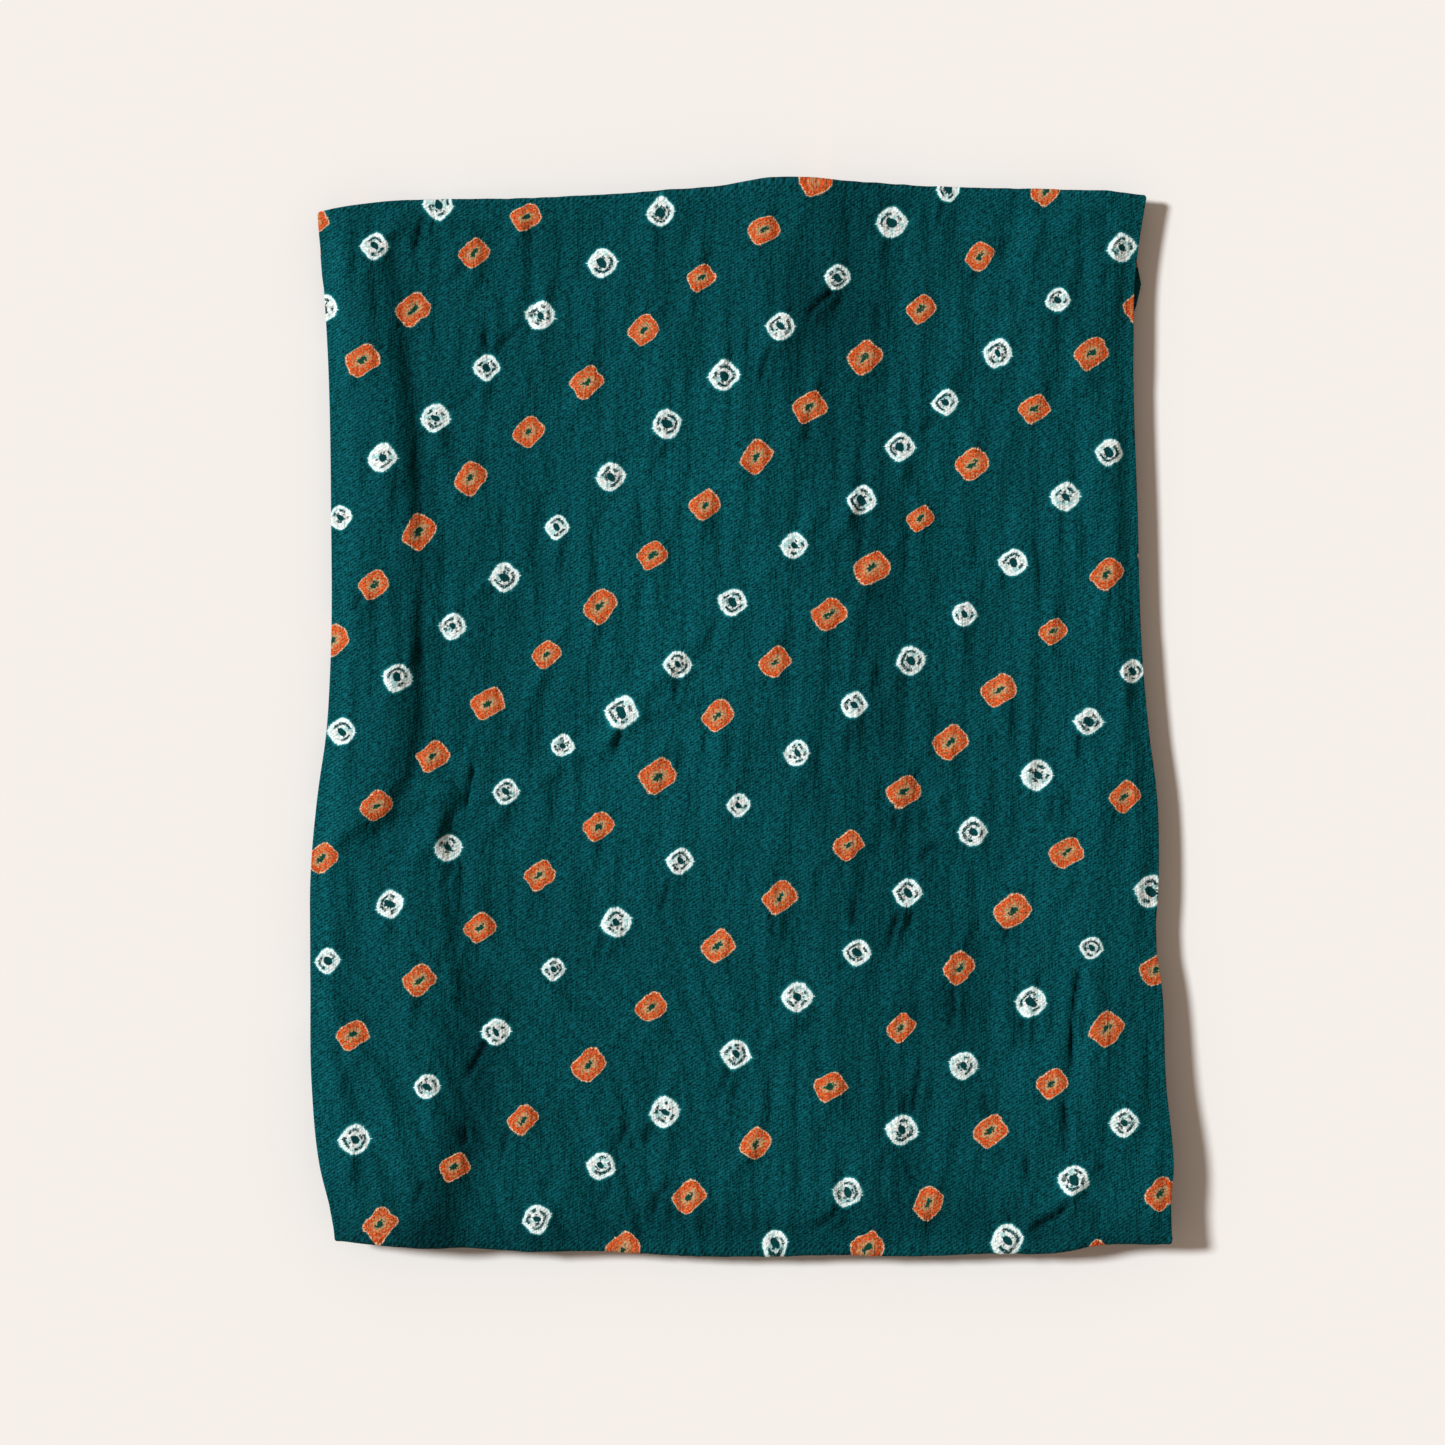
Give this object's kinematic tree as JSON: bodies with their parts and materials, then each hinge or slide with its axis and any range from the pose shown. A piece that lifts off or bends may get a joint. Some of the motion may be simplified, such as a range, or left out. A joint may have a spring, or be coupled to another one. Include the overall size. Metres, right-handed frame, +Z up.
{
  "type": "folded bandhani cloth",
  "caption": "Length of tie-dyed cloth folded back and forth into a flat, slightly uneven rectangular stack that lies on a table or shelf.",
  "frame": {"origin": "middle of the underside, on the surface that the stack lies on", "axes": "+Z up from the surface, +Y along the long side towards the end where the last fold is tucked in, +X along the short side, to the right when seen from above"},
  "size_m": [0.289, 0.3592, 0.0157],
  "materials": {
    "cloth": "fine dyed twill, matt with a faint soft sheen, small white and orange tie-dyed dots"
  },
  "bodies": {
    "root": {"folded_cloth": "cloth"}
  },
  "joints": []
}
